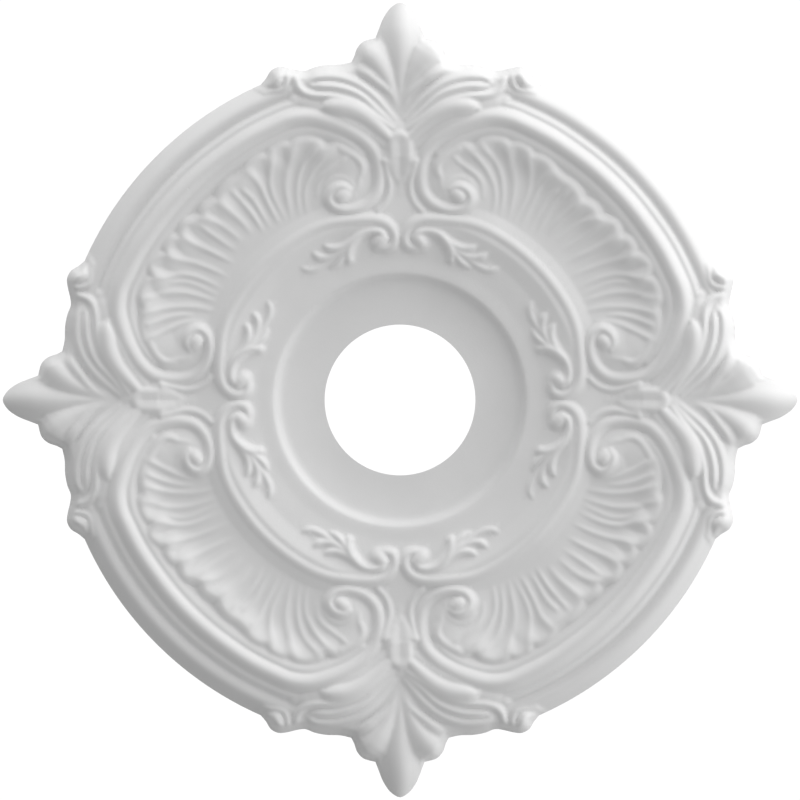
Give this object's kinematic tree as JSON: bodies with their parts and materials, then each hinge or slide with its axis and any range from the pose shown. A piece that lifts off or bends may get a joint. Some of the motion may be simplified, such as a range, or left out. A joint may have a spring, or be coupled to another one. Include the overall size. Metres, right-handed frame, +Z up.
{
  "type": "ceiling rose",
  "caption": "Round moulded ceiling rose with shell panels, scrolls and pointed leaf tips round an open cord hole, flat on its ceiling side.",
  "frame": {"origin": "centre of the hole in the plane of the flat back, where the rose meets the ceiling", "axes": "+Z up, out of the flat back towards the ceiling; the relief faces down, -Z; the four pointed tips lie on +X, -X, +Y and -Y"},
  "size_m": [0.459, 0.459, 0.026],
  "materials": {
    "white_moulding": "factory primed white, satin matt, faintly softened relief, as cast in a dense foam"
  },
  "bodies": {
    "root": {"ceiling_rose": "white_moulding"}
  },
  "joints": []
}
